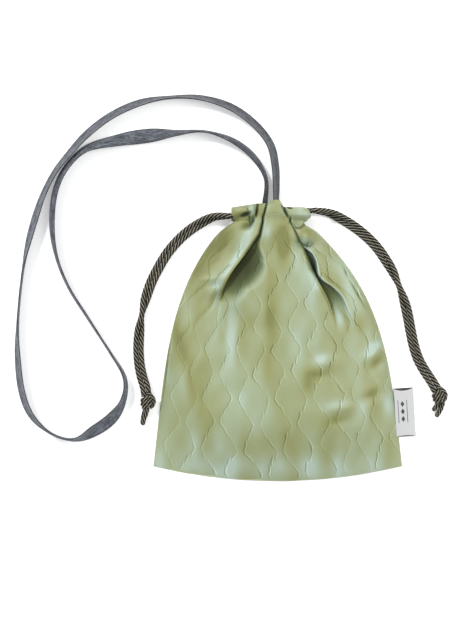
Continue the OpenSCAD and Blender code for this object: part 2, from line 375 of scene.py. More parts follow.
def srgb(r, g, b):
    """The surface colour that looks like these display values (0 to 255) under the lights."""
    line = lambda c: c / 12.92 if c <= 0.04045 else ((c + 0.055) / 1.055) ** 2.4
    return (*(line(c / 255) / LIGHT_LEVEL for c in (r, g, b)), 1)


def grey(level):
    return (level, level, level, 1)


LEVEL = 0.1                      # the satin's deep value where it lies level; values below it give the crease lips a painted highlight
LEVEL_SHADE = 0.7


def satin_material():
    """Pale green satin: aqua to olive by its tone, which paints the shot satin's sheen and shade,
    painted shade deep in the folds and painted highlights on the crease lips, with a fine twill."""
    n = Nodes("green_satin", Sheen_Weight=0.12, Sheen_Roughness=0.4)
    tone, deep = n.attribute("tone"), n.attribute("deep")
    level = [(0.0, (186, 205, 190)), (0.25, (170, 184, 152)), (0.5, (160, 169, 125)),
             (0.75, (151, 155, 99)), (1.0, (130, 133, 72))]
    # The colours are raised so that level cloth shows them; the crease lips, below LEVEL, come out lighter as
    # a painted highlight.
    lit = [(at, (*(c / LEVEL_SHADE * 0.96 for c in srgb(*look)[:3]), 1)) for at, look in level]
    colour = n.ramp(n.math("ADD", tone, n.flecks(n.noise(26, 3), 0.3)), *lit)
    # deep paints light and shade: a yellowish painted highlight near 0, near-black painted shade in folds and
    # crevices towards 1.
    shade = n.ramp(deep, (0.0, (1, 0.99, 0.92, 1)), (LEVEL, grey(LEVEL_SHADE)),
                   (0.5, (0.25, 0.29, 0.205, 1)), (1.0, (0.045, 0.063, 0.05, 1)))
    weave = n.wave("DIAGONAL", 620, Distortion=1.2, Detail=1)
    n.paint(colour, shade, n.ramp(weave, (0.0, (0.94, 0.94, 0.93, 1)), (1.0, grey(1))))
    rough = n.math("ADD", n.math("MULTIPLY", n.noise(90, 2), 0.16), 0.38)
    n.link(n.math("ADD", rough, n.math("MULTIPLY", deep, 0.55)), n.shader.inputs["Roughness"])
    n.bump(weave, 0.12, 0.0002)
    return n.material


def cotton_material(name, colour, dark):
    """Plain woven cloth for linings: a fine over-and-under grid."""
    n = Nodes(name, Roughness=0.85, Sheen_Weight=0.2)
    weave = n.math("MULTIPLY", n.wave("X", 420), n.wave("Y", 420))
    n.paint(n.ramp(weave, (0.0, dark), (1.0, colour)))
    n.bump(weave, 0.25, 0.0003)
    return n.material


def cord_material():
    """Twisted cord: each ply shows a beige and a grey yarn, with black yarns between them; the beige on each
    ply's crown is partly a painted highlight, and the black in the gaps between plies partly painted shade.
    """
    n = Nodes("twisted_cord", Roughness=0.6, Specular_IOR_Level=0.25)
    ply, along = n.attribute("ply"), n.attribute("along")
    place = n.math("FRACT", n.math("ADD", ply, 0.5))
    factor = n.math("ADD", place, n.flecks(n.noise(650, 2), 0.16))
    # Light on each ply's crown and black in the gaps: the yarn colours, partly a painted highlight and
    # painted shade.
    stripes = n.ramp(factor, (0.0, srgb(4, 4, 3)), (0.32, srgb(6, 5, 4)),
                     (0.42, srgb(220, 212, 186)), (0.5, srgb(158, 152, 132)),
                     (0.6, srgb(6, 5, 4)), (0.72, srgb(66, 63, 54)),
                     (0.82, srgb(5, 4, 3)))
    pull = n.node("TexNoise", noise_dimensions="1D")
    pull.inputs["Scale"].default_value = 0.11
    n.link(along, pull.inputs["W"])
    worn = n.ramp(pull.outputs["Fac"], (0.3, (0.78, 0.77, 0.74, 1)), (0.7, grey(1)))
    # flank darkens the cord's sides by how far they faced sideways at rest: painted shade.
    shade = n.ramp(n.attribute("flank"), (0.3, grey(1)), (0.75, (0.3, 0.29, 0.27, 1)))
    n.paint(stripes, worn, shade)
    yarn = n.math("PINGPONG", n.math("ADD", n.math("MULTIPLY", ply, 4.0),
                                     n.math("MULTIPLY", along, 0.35)), 0.5)
    n.bump(yarn, 0.5, 0.0003)
    return n.material


def tape_material():
    """Blue-grey webbing: lengthwise ribs of dotted light and dark yarn, painted shade along both edges, and
    painted shade on both ends near the neck.
    """
    n = Nodes("strap_tape", Roughness=0.65, Sheen_Weight=0.08)
    across, along = n.attribute("across"), n.attribute("along")
    ribs = n.math("MULTIPLY", across, RIBS)
    rib = n.math("PINGPONG", ribs, 0.5)
    odd = n.math("MULTIPLY", n.math("FLOOR", ribs), 0.5)
    dot = n.math("PINGPONG", n.math("ADD", n.math("MULTIPLY", along, 0.62), odd), 0.5)
    relief = n.math("MULTIPLY", n.math("ADD", rib, 0.12), n.math("ADD", dot, 0.3))
    place = n.node("CombineXYZ")
    n.link(n.math("MULTIPLY", across, 7.0), place.inputs["X"])
    n.link(n.math("MULTIPLY", along, 0.09), place.inputs["Y"])
    wear = n.math("SUBTRACT", n.noise(1, 3, place.outputs[0]), 0.5)
    uneven = n.math("ADD", n.flecks(n.noise(330, 3), 0.6), wear)
    factor = n.math("ADD", n.math("MULTIPLY", relief, 1.55), uneven)
    base = n.ramp(factor, (0.0, srgb(31, 33, 38)), (0.3, srgb(83, 88, 98)),
                  (0.6, srgb(129, 135, 148)), (0.95, srgb(197, 202, 213)))
    edge = n.math("ABSOLUTE", n.math("SUBTRACT", across, 0.5))
    # Darker along both edges: painted shade.
    painted_edge_shade = n.ramp(edge, (0.36, grey(1)), (0.47, (0.62, 0.62, 0.6, 1)))
    # Darker towards both ends, where the strap meets the neck: painted shade.
    painted_shade_at_neck = n.ramp(n.math("MULTIPLY", along, 1 / STRAP_LENGTH), (0.0, (0.52, 0.52, 0.51, 1)),
                       (0.13, (0.62, 0.62, 0.61, 1)), (0.3, grey(1)), (0.78, grey(1)),
                       (0.88, grey(0.74)), (1.0, grey(0.62)))
    n.paint(base, painted_edge_shade, painted_shade_at_neck)
    n.bump(relief, 0.8, 0.0005)
    return n.material


def thread_material(name, colour, dark):
    n = Nodes(name, Roughness=0.5, Sheen_Weight=0.2)
    twist = n.wave("DIAGONAL", 900)
    n.paint(n.ramp(twist, (0.0, dark), (1.0, colour)))
    n.bump(twist, 0.4, 0.0002)
    return n.material


def label_material():
    """White satin ribbon with fine lengthwise lines."""
    n = Nodes("label_satin", Roughness=0.42, Sheen_Weight=0.15)
    lines = n.wave("Y", 520, Distortion=0.6)
    white = n.ramp(lines, (0.0, srgb(198, 198, 199)), (1.0, srgb(216, 216, 217)))
    # inner: the ribbon's inner faces are painted near-black, a painted shade inside the folded loop.
    n.paint(white, n.ramp(n.attribute("inner"), (0.45, grey(1)), (0.55, (0.09, 0.09, 0.1, 1))))
    n.bump(lines, 0.15, 0.0002)
    return n.material


SATIN = satin_material()
LINING = cotton_material("cream_lining", srgb(214, 216, 196), srgb(184, 187, 164))
CORD = cord_material()
TAPE = tape_material()
THREAD = thread_material("sewing_thread", srgb(222, 226, 190), srgb(176, 178, 128))
STRAP_THREAD = thread_material("strap_thread", srgb(92, 95, 98), srgb(52, 54, 56))
LABEL = label_material()
INK = thread_material("label_ink", srgb(58, 60, 62), srgb(44, 46, 48))

# ---------------------------------------------------------------- cords

CORD_R = 2.5
STRAND_R = 2.68                  # out to the crowns of the plies
HIDDEN_R = 2.3                   # the cord where it is squeezed, in its knot and its casing
KNOT_R = 7.6
CASING = {side: node_box(side + "_casing") for side in ("back", "front")}
RUN_Z = {side: (CASING[side][0][2] + CASING[side][1][2]) / 2 for side in CASING}
EXIT_Z = (RUN_Z["back"] + RUN_Z["front"]) / 2
STACKED = (RUN_Z["front"] - RUN_Z["back"]) / 2
NECK_LEFT, NECK_RIGHT = CASING["front"][0][0], CASING["front"][1][0]

# Each pair's middle line: x, y, height, half spacing, turn of the pair in degrees.
LEFT_PAIR = [
    (NECK_LEFT - 1.3, 126.8, EXIT_Z, STACKED, 90), (-51, 126.8, EXIT_Z, STACKED, 90),
    (-64, 126.2, 7.5, 4.6, 106), (-76, 121, 4.4, 3, 144), (-88, 113.5, 2.8, 2.7, 174),
    (-100, 103, 2.6, 2.7, 180), (-111, 90, 2.6, 2.7, 180), (-119.5, 76, 2.6, 2.7, 180),
    (-127, 61, 2.6, 2.7, 176), (-132.5, 45, 4, 2.7, 150), (-136.5, 28, 5.3, 2.7, 90),
    (-139, 11, 4, 2.7, 150), (-140, -6, 2.6, 2.7, 176), (-139, -21, 2.6, 2.7, 180),
    (-136.6, -33, 4, 2.7, 180), (-133.2, -43.5, 6.8, 2.7, 180), (-131.9, -50.5, KNOT_R, 2.7, 180)]
RIGHT_PAIR = [
    (NECK_RIGHT + 1.3, 132.2, EXIT_Z, STACKED, 90), (39, 132.2, EXIT_Z, STACKED, 90),
    (52, 130, 7.5, 4.6, 74), (64, 124.5, 4.4, 3, 36), (77, 116.5, 2.8, 2.7, 6),
    (89, 107, 2.6, 2.7, 0), (99.5, 96, 2.6, 2.7, 0), (108, 84, 2.8, 2.7, 8),
    (115.5, 71, 4.6, 2.7, 45), (121.5, 57, 5.3, 2.7, 90), (126.5, 43, 4.6, 2.7, 45),
    (130.5, 28, 2.8, 2.7, 5), (133.5, 12, 2.6, 2.7, 0), (137, -4, 2.6, 2.7, 0),
    (141.5, -17, 2.6, 2.7, 0), (147.5, -28, 4.2, 2.7, 0), (153.5, -37.5, 6.8, 2.7, 0),
    (158.1, -45.4, KNOT_R, 2.7, 0)]
# Knots: centre, and how far the axis leans from +Y.
KNOTS = {"left": ((-130.5, -59.2, KNOT_R), 9), "right": ((161.5, -53.6, KNOT_R), 22)}
TAILS = {
    "left": [[(-133.2, -67.6, 4.8), (-134.8, -73, 3), (-135.6, -78, 2.6), (-135.4, -83, 2.6)],
             [(-131.3, -67.8, 10.2), (-132.8, -72.5, 8.6), (-134.4, -76.5, 8), (-135, -81, 7.9)]],
    "right": [[(159.6, -63, 4.4), (157.6, -65.8, 2.9), (155.8, -68.5, 2.6)],
              [(164.6, -62.6, 5.2), (163.6, -66.5, 3.2), (161.4, -70.5, 2.6), (158.8, -74.5, 2.6)]]}
ROPE_STEP = 0.75


def beside(line):
    """The level direction to the left of each point of a line."""
    d = np.gradient(line[:, :2], axis=0)
    return unit(np.stack([-d[:, 1], d[:, 0], np.zeros(len(d))], 1))


def strand_line(pair, sign):
    """Centre line of one strand, with the last few millimetres running on into the knot."""
    mid = curve(pair, 8)
    turn = np.radians(mid[:, 4])[:, None]
    reach = sign * mid[:, 3:4]
    line = mid[:, :3] + reach * (np.cos(turn) * beside(mid) + np.sin(turn) * np.array([0, 0, 1.0]))
    into_knot = line[-1] + unit(line[-1] - line[-4]) * 3.0
    return evenly(np.concatenate([line, [into_knot]]), ROPE_STEP)


def add_rope(name, parts):
    """One piece of cord from rope() parts."""
    points, faces, (ply, along) = joined(parts)
    piece = add_mesh(name, points, faces, CORD, values={"ply": ply, "along": along})
    # flank: 1 where the cord faces sideways at rest, for the painted shade on its sides.
    flank = piece.data.attributes.new("flank", "FLOAT", "POINT")
    flank.data.foreach_set("value", [1 - abs(v.normal.z) for v in piece.data.vertices])
    return piece


def turned(a, b, degrees):
    """Directions a and b, turned about the vertical."""
    c, s = math.cos(math.radians(degrees)), math.sin(math.radians(degrees))
    return a * c - b * s, a * s + b * c


def at_knot(side, local):
    """From a knot's own axes to the frame."""
    centre, turn = KNOTS[side]
    x, y = turned(local[:, 0], local[:, 1], turn)
    return np.array(centre) + np.stack([x, y, local[:, 2]], 1)


def knot_wrap(side):
    """The rope's wraps round the knot, as one line in the frame."""
    a = np.linspace(0, 1, 150)
    angle = 2 * math.pi * (2.6 * a + 0.1)
    bulge = 1 - 0.22 * (2 * a - 1) ** 2
    radius = (KNOT_R - HIDDEN_R) * bulge * (1 + 0.05 * np.sin(3 * angle))
    along = mix(4.9, -4.9, a) + 0.9 * np.cos(angle)
    return at_knot(side, np.stack([radius * np.cos(angle), along, radius * np.sin(angle)], 1))


def knot_shoulder(side):
    """The part of the overhand knot that climbs over its outer side."""
    return at_knot(side, curve([(1.2, 8.6, 1.5), (3.4, 7.4, 3.2), (5.6, 4.2, 3.9), (6.4, 0.2, 2.6),
                                (4.6, -3.6, 1.4), (1.6, -5.6, 0.6)], 12))


def add_side_cords(side, pair, out_x):
    """Both strands of one pair, its knot and tails, and the runs inside the casings."""
    for layer, sign, run in (("lower", -1, "back"), ("upper", 1, "front")):
        line = strand_line(pair, sign)
        strand = add_rope(f"{side}_cord_{layer}", [rope(line, STRAND_R)])
        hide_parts(f"{side}_cord_{layer}_strand")
        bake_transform(strand)
        float(arc_length(line)[-1]) * MM
        far_end = add_run(side, run, out_x)
    add_turn(side, out_x, *far_end)
    knot = add_rope(f"{side}_cord_knot", [rope(evenly(knot_wrap(side), ROPE_STEP), HIDDEN_R),
                                          rope(evenly(knot_shoulder(side), ROPE_STEP), 2.2)])
    tails = []
    for points in TAILS[side]:
        first, second = np.array(points[:2])
        line = evenly(curve([first - unit(second - first) * 3, *points], 10), 0.6)
        tails.append(rope(line, CORD_R * 0.98, rounded_end=True))
    tail = add_rope(f"{side}_cord_tails", tails)
    for piece, node in ((knot, f"{side}_knot"), (tail, f"{side}_tails")):
        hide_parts(node)
        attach(piece, f"{side}_lower_loop")


def add_run(side, casing, out_x):
    """The drawstring's run through one casing. Returns the x and y of its far end."""
    node = f"{side}_cord_{casing}_run"
    low, high = node_box(node)
    y = (low[1] + high[1]) / 2
    reach = STACKED + CORD_R
    near_x, far_x = (low[0], high[0] - reach) if out_x < 0 else (high[0], low[0] + reach)
    sag = -1.7 if casing == "front" else 0
    line = [(mix(near_x, far_x, t), y, RUN_Z[casing] + sag * abs(math.sin(math.pi * t)) ** 0.45)
            for t in np.linspace(0, 1, 25)]
    run = add_rope(f"{side}_cord_in_{casing}_casing", [rope(evenly(np.array(line), 1.2), HIDDEN_R)])
    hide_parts(node)
    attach(run, f"{side}_{casing}_runner")
    return far_x, y


def add_turn(side, out_x, x, y):
    """The drawstring's bend at its far end, from the back casing up into the front one."""
    line = [(x - out_x * STACKED * math.cos(a), y, EXIT_Z + STACKED * math.sin(a))
            for a in np.radians(np.linspace(-90, 90, 25))]
    turn = add_rope(f"{side}_cord_turn", [rope(evenly(np.array(line), 1.2), HIDDEN_R)])
    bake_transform(turn)


# ---------------------------------------------------------------- shoulder strap

STRAP_W, STRAP_T = 15, 1.5
STRAP_ROUTE = [
    (-2.5, 138.3, 72), (-2.5, 158, 64), (-3.5, 178, 60), (-8.5, 199, 58), (-24, 219, 56),
    (-48, 236, 56), (-78, 245, 64), (-108, 245.5, 73), (-138, 240, 57), (-166, 227.5, 54),
    (-190, 209.5, 54), (-208, 190, 60), (-223.5, 170, 64), (-235, 147, 62), (-242.5, 125, 57),
    (-249, 102, 62), (-254.5, 77, 78), (-258.5, 46, 82), (-260.5, 16, 77), (-260, -14, 62),
    (-256, -48, 58), (-246, -73, 62), (-226, -91, 80), (-204, -96.5, 76), (-184, -87.5, 42),
    (-167, -75, 42), (-155.5, -57, 72), (-154, -35, 84), (-168, -10, 92), (-190, 24, 98),
    (-209, 54, 99), (-221.5, 84, 102), (-227, 115, 114), (-224.5, 149, 117), (-213.5, 175, 118),
    (-193, 195, 122), (-163, 203.5, 145), (-134, 208, 170), (-104, 211, 122), (-74, 212, 98),
    (-46, 204, 114), (-24, 187, 116), (-11.5, 164, 102), (-12.5, 138.3, 108)]


def strap_sections(mid, cup):
    """Rings of a cupped tape along mid (x, y, roll), and its centre line."""
    roll, level = np.radians(mid[:, 2])[:, None], beside(mid)
    up = np.array([[0, 0, 1.0]])
    wide = np.cos(roll) * level + np.sin(roll) * up
    through = -np.sin(roll) * level + np.cos(roll) * up
    height = 0.1 + STRAP_W / 2 * np.abs(np.sin(roll)) + 0.9 * np.abs(np.cos(roll))
    centre = np.concatenate([mid[:, :2], np.zeros((len(mid), 1))], 1) + height * up
    s = np.linspace(-1, 1, 17)
    thick = STRAP_T / 2 * np.sqrt(np.clip(1 - s ** 8, 0.15, 1))
    dish = cup * (s * s - 0.35)
    s, offset = np.concatenate([s, s[::-1]]), np.concatenate([dish + thick, (dish - thick)[::-1]])
    rings = np.stack([centre + a * wide + b * through for a, b in zip(s * STRAP_W / 2, offset)], 1)
    return rings, centre, (s + 1) / 2


def thickened(path, half):
    """A closed outline at that distance on both sides of a plane path."""
    d = unit(np.gradient(path, axis=0))
    normal = np.stack([-d[:, 1], d[:, 0]], 1) * half
    return np.concatenate([path + normal, (path - normal)[::-1]])


def add_tape(name, rings, along, across):
    rows, cols = rings.shape[:2]
    tape = add_mesh(name, rings.reshape(-1, 3), capped_faces(rows, cols), TAPE,
                    values={"across": np.tile(across, rows), "along": np.repeat(along, cols)})
    return tape


def add_strap():
    mid = evenly(curve(STRAP_ROUTE, 10), 2.2)
    rings, centre, across = strap_sections(mid, cup=1.5)
    arc = arc_length(centre)
    strap = add_tape("strap", rings, arc, across)
    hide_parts("shoulder_strap")
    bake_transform(strap)


def add_strap_ends():
    """The tape's two ends, folded in half lengthwise and bar-tacked inside the back casing."""
    tacks = []
    for side in ("left", "right"):
        low, high = node_box(f"strap_end_{side}")
        x, w = (low[0] + high[0]) / 2, (high[0] - low[0]) / 2
        y = np.linspace(low[1], high[1], 15)
        r = (high[2] - low[2]) / 4
        mid_z = (low[2] + high[2]) / 2
        bend = [(-w + r + 0.2 - r * math.sin(t), r * math.cos(t)) for t in np.linspace(0, math.pi, 9)]
        path = evenly(np.array([(w, r), *bend, (w, -r)]), 0.7)
        section = thickened(path, 0.8 * STRAP_T / 2)
        rings = np.stack([np.stack([x + section[:, 0], np.full(len(section), k),
                                    mid_z + section[:, 1]], 1) for k in y])
        half = np.linspace(0, 1, len(path))
        end = add_tape(f"strap_end_{side}_tape", rings, y - y[0], np.concatenate([half, half[::-1]]))
        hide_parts(f"strap_end_{side}")
        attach(end, "back")
        zigzag = [(x - 2.4 + 4.8 * k / 16, low[1] + 3.8 + (0.75 if k % 2 else -0.75), high[2] + 0.18)
                  for k in range(17)]
        tacks.append(thread(evenly(np.array(zigzag), 0.4), 0.2))
    tack = add_mesh("strap_bar_tacks", *joined(tacks)[:2], STRAP_THREAD)
    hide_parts("strap_bartacks")
    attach(tack, "back")


# ---------------------------------------------------------------- the sack's cloth

BACK_LOW, BACK_HIGH = node_box("back_panel")
FRONT_LOW, FRONT_HIGH = node_box("front_panel")
SACK_W = BACK_HIGH[0] - BACK_LOW[0]
NECK_X, NECK_W = (NECK_LEFT + NECK_RIGHT) / 2, NECK_RIGHT - NECK_LEFT
NECK_Y = CASING["front"][0][1]
TOP_Y = CASING["front"][1][1]
CORNER_Y, BOTTOM_BOW = -124, 15
LEAN = -11.5
RIM_Z = 0.9
CROWN = FRONT_HIGH[2] - 1.5
NECK_RISE = CASING["front"][1][2] - 1.5
PUFF = 0.86                      # how full the cloth stands, against the CAD solid


def half_width(v):
    return NECK_W / 2 + (SACK_W - NECK_W) / 2 * (1 - 0.32 * v - 0.68 * v ** 4)


def sideways(v):
    return LEAN * v ** 3 + (NECK_X - LEAN) * v ** 40


def plan(u, v):
    """Plan place of cloth point (u from -1 to 1 across, v from 0 at the seam to 1 at the neck)."""
    x = sideways(v) + u * half_width(v)
    y = mix(CORNER_Y - BOTTOM_BOW * (1 - u * u), NECK_Y, v)
    pinch = np.exp(-((y - 119) / 5.5) ** 2)
    x = x + pinch * np.where(u > 0, -8.5 * u ** 2, 2.5 * u ** 2)
    return x, y


def crown(v):
    rise = np.sin(np.minimum(v / 0.28, 1) * math.pi / 2)
    fall = np.clip((v - 0.28) / 0.72, 0, 1) ** 1.5
    return rise * mix(CROWN, NECK_RISE, fall)


def arch(u, v):
    return np.clip(1 - np.abs(u) ** 2.2, 0, 1) ** mix(0.75, 0.5, v)


# The left fold overhangs a wide valley on its right: x, y, depth, valley width, shade in it.
LEFT_FOLD = curve([
    (-9, 141, 2, 3, 0.2), (-14.7, 128, 3, 3, 0.25), (-18, 114.7, 4, 3.5, 0.3), (-19.7, 108, 5, 4, 0.3),
    (-25.2, 100, 6.5, 9, 0.45), (-29, 95, 8, 20, 0.66), (-33, 90.2, 9, 26, 0.78),
    (-39.7, 81.3, 9.5, 28, 0.8), (-46.3, 72.4, 9, 27, 0.76), (-52, 62.4, 7.5, 23, 0.64),
    (-56.3, 51.3, 4, 21, 0.32), (-58, 40, 0, 16, 0)], 4)
# The right fold is a trench between this edge (x, y, depth, shade) and its right bank (x, y, lift).
RIGHT_FOLD = curve([
    (5, 131, 2, 0.2), (10, 121, 3, 0.25), (13.7, 116.3, 3.5, 0.3), (20.3, 102, 5, 0.3), (24.8, 93, 7, 0.5),
    (29, 83, 8.5, 0.72), (32.6, 74.1, 9, 0.95), (35.5, 67, 9, 0.8), (39.2, 59.7, 9, 0.7), (47, 46.3, 7, 0.55),
    (51.4, 36.3, 4.5, 0.3), (54.8, 26.3, 1.5, 0.1), (58, 12, 0, 0)], 3)
RIGHT_BANK = curve([
    (24.8, 95.2, 0.6), (33.7, 88.6, 1.4), (37.6, 80.8, 1.7), (39.2, 69.7, 1.7), (44.8, 62, 1.7),
    (54.8, 55.2, 1.7),
    (63.7, 46.3, 1.5), (69.2, 34.1, 1), (73.7, 24.1, 0.5), (77, 12, 0)], 3)


def ridge_and_push(d, depth):
    """The swelling up to a fold's edge, and how far the edge leans out over its valley."""
    before = 1 - smooth(-0.3, 0.9, d)
    return (0.32 * depth * np.exp(np.minimum(d, 0) / 9) * before,
            0.22 * depth * before * np.exp(np.minimum(d, 0) / 3.0))


def left_fold(x, y):
    """Height, sideways push and shade of the left fold and its valley."""
    d, (depth, width, dark) = polyline_distance(x, y, LEFT_FOLD)
    ridge, push = ridge_and_push(d, depth)
    across = d / np.maximum(width, 1)
    into = smooth(-0.3, 0.9, d)
    height = ridge - 0.75 * depth * into * (1 - smooth(0.3, 1.15, across))
    return height, push, dark * smooth(-0.6, 0.4, d) * (1 - smooth(0.5, 1.12, across))


def right_fold(x, y):
    """The same for the right fold's trench."""
    d, (depth, dark) = polyline_distance(x, y, RIGHT_FOLD)
    bank, (lift,) = polyline_distance(x, y, RIGHT_BANK)
    ridge, push = ridge_and_push(d, depth)
    trench = smooth(-0.3, 1.2, d) * (1 - smooth(-1.4, 0.4, bank))
    lip = lift * smooth(-0.9, 0.6, bank) * np.exp(-np.maximum(bank, 0) / 8)
    return ridge - 0.85 * depth * trench + lip, push, dark * trench


LATTICE_PITCH = 18.6             # width of one column of the trellis
COLUMNS_LEFT, COLUMNS_RIGHT = -7.35, 5.6


def trellis_place(x, y, left, right):
    """Column and row position of a cloth point in the trellis."""
    pitch = mix(18.1, 19.3, smooth(40, -110, y))
    middle = 7.5 - 0.055 * y + 0.0006 * np.minimum(y, 0) ** 2
    column = (x - middle) / pitch
    from_left = COLUMNS_LEFT + (x - left) / 17.5
    from_right = COLUMNS_RIGHT - (right - x) / 17.8
    d_left, _ = polyline_distance(x, y, LEFT_FOLD)
    soft = smooth(60, 0, y)
    near_left = mix(smooth(-2, 2, d_left), smooth(-110, -30, x), soft)
    d_right, _ = polyline_distance(x, y, RIGHT_FOLD)
    near_right = mix(smooth(8, 12, d_right), smooth(50, 105, x), soft)
    column = mix(from_left, column, near_left)
    column = mix(column, from_right, near_right)
    bowed = y - 9 * ((x + 25) / 125) ** 2
    row = 1.346 - 0.02142 * bowed - 0.0000105 * bowed ** 2
    return column, row


DASHES = 6.2                     # short creases in one full wave of a trellis line


def scatter(i, j):
    """A fixed scattered value from -1 to 1 for each pair of whole numbers."""
    wild = np.sin(12.9898 * i + 78.233 * j) * 437.5453
    return 2 * (wild - np.floor(wild)) - 1


def trellis(x, y, left, right):
    """The wavy creases: height of their raised lips, depth of the dark grooves on the lips' left,
    and the soft pillows between them. The creases are broken into short overlapping dashes."""
    column, row = trellis_place(x, y, left, right)
    column = column + 0.09 * value_noise(x, y, 24, 5) + 0.03 * value_noise(x, y, 8, 6)
    row = row + 0.05 * value_noise(x, y, 26, 8)
    lip, dark = np.zeros(x.shape), np.zeros(x.shape)
    nearest = np.full(x.shape, 9.0)
    slope = np.sin(2 * math.pi * row)
    wave = np.arcsin(0.93 * np.cos(2 * math.pi * row)) / math.asin(0.93)
    for step in (-1, 0, 1):
        k = np.floor(column) + step
        sign = np.where(k % 2 == 0, 1.0, -1.0)
        offset = 0.37 * (k % 7) + 0.5 * value_noise(x + 31 * (k % 3), y, 30, 22)
        first = np.floor(row * DASHES + offset)
        facing = 0.85 - 0.3 * sign * slope
        strength = facing * (0.9 + 0.6 * value_noise(x + 40 * (k % 5), y, 15, 21))
        path = k + 0.5 - 0.31 * sign * wave
        nearest = np.minimum(nearest, np.abs(column - path) * LATTICE_PITCH)
        for neighbour in (-1, 0, 1):
            t = row * DASHES + offset - (first + neighbour + 0.5)
            chance = scatter(k, first + neighbour)
            lean = (0.085 + 0.05 * chance) * np.abs(slope) * sign * np.sign(slope)
            distance = (column - path + lean * t) * LATTICE_PITCH + 0.7 * chance
            part = np.minimum(1.1, strength * (0.85 + 0.4 * chance)) * (1 - smooth(0.42, 0.72, np.abs(t)))
            lip = np.maximum(lip, part * np.exp(-((distance - 0.55) / 0.62) ** 2))
            dark = np.maximum(dark, part * np.exp(-((distance + 0.55) / 0.55) ** 2))
    pillow = 1 - np.exp(-(nearest / 6.0) ** 1.5)
    return lip, dark, pillow


def groove(x, y, line):
    """How far into a narrow crevice each point is, 0 to 1 (its points: x, y, depth, half width)."""
    d, (depth, width) = polyline_distance(x, y, line)
    return depth * np.exp(-(d / width) ** 2)


# Narrow crevices between the gathers, cut in and darkened with painted shade: x, y, depth (0 to 1), half
# width.
CREVICES = [
    [(-20.5, 138.5, 0.8, 1.3), (-21.5, 131, 1, 1.3), (-22.5, 125, 1, 1.2), (-28, 117, 0.7, 1.5),
     (-31, 112, 0, 2)],
    [(-31, 134.5, 0.3, 0.7), (-29.6, 129, 0.55, 0.8), (-28.3, 123.5, 0.8, 1.0), (-28, 117, 0.6, 1.4)],
    [(-45, 124, 0, 0.8), (-38, 123.4, 0.3, 0.8), (-30, 121.5, 0.4, 0.9), (-25, 117, 0, 1)],
    [(-11.2, 140, 0.9, 1.0), (-14.3, 128, 1, 1), (-17.6, 115, 1, 1), (-19.4, 108, 1, 1.1),
     (-25, 99.6, 0.9, 1.3), (-32.5, 90, 0.4, 1.6), (-39, 81, 0.1, 2)],
    [(4.8, 136, 1, 1.7), (6.5, 131, 1, 1.4), (9.5, 125, 0.9, 1.0), (14.2, 116, 0.6, 0.9),
     (20.6, 102, 0.8, 1.3), (25, 93, 0.6, 1.2), (32.8, 74, 1, 2.0), (36, 67, 0.5, 2.0), (40, 59, 0.2, 2)],
    [(17, 109, 0.3, 1.2), (20.5, 101, 0.9, 1.7), (25, 96.6, 0.7, 1.2), (32, 96, 0.35, 1.3),
     (37, 101, 0, 1.5)],
    [(25, 95.4, 0.6, 0.8), (33.4, 88.6, 0.5, 0.8), (37, 81, 0.4, 0.8), (38.8, 70, 0.3, 1)],
    [(15, 118, 0.2, 1), (17.5, 114.2, 0.5, 1), (22, 114.5, 0.5, 1), (26, 118, 0.5, 1.2)],
    [(66, 77, 0, 0.7), (68, 71, 0.45, 0.7), (70, 66, 0.1, 0.7)],
    [(72, 63, 0.1, 0.7), (76, 56, 0.4, 0.7), (82, 45, 0.35, 0.7), (89, 34, 0.05, 0.7)],
    [(-115.5, -60, 0.1, 0.8), (-112, -30, 0.4, 0.8), (-108.5, -3, 0.2, 0.8), (-107, 4, 0, 0.8)]]
# Small holes in the gathers, cut in and filled with painted shade: x, y, radii, turn.
HOLES = [(-32.8, 127.4, 5.2, 1.9, 24), (11, 134.2, 2.2, 0.8, -12)]
# Broad soft shade in dimples: x, y, radii, turn, amount.
SOFT_SHADES = [(-31, 116.5, 6, 3, 20, 0.4), (27, 98, 6, 2.6, 20, 0.4), (-66, 48, 12, 8, 0, 0.12),
               (-25, 132, 1.5, 6, -12, 0.3), (-40, 124, 5, 2, 10, 0.25), (-30, 138, 8, 1.0, 10, 0.3),
               (17, 119, 5, 3, -35, 0.2), (-58, 96, 16, 22, -38, 0.05), (-59, 50, 2.6, 10, -18, 0.3),
               (20, 101, 4, 5, 20, 0.4), (-42, 34, 10, 14, -20, 0.14)]


# Depth of the crevices and holes, 0 to 1: it cuts the cloth and is also painted shade.
def crevice_depth(x, y):
    deep = np.zeros(x.shape)
    for line in CREVICES:
        deep = np.maximum(deep, groove(x, y, line))
    for hole in HOLES:
        deep = np.maximum(deep, np.minimum(1, 1.7 * hill(x, y, *hole)))
    return deep


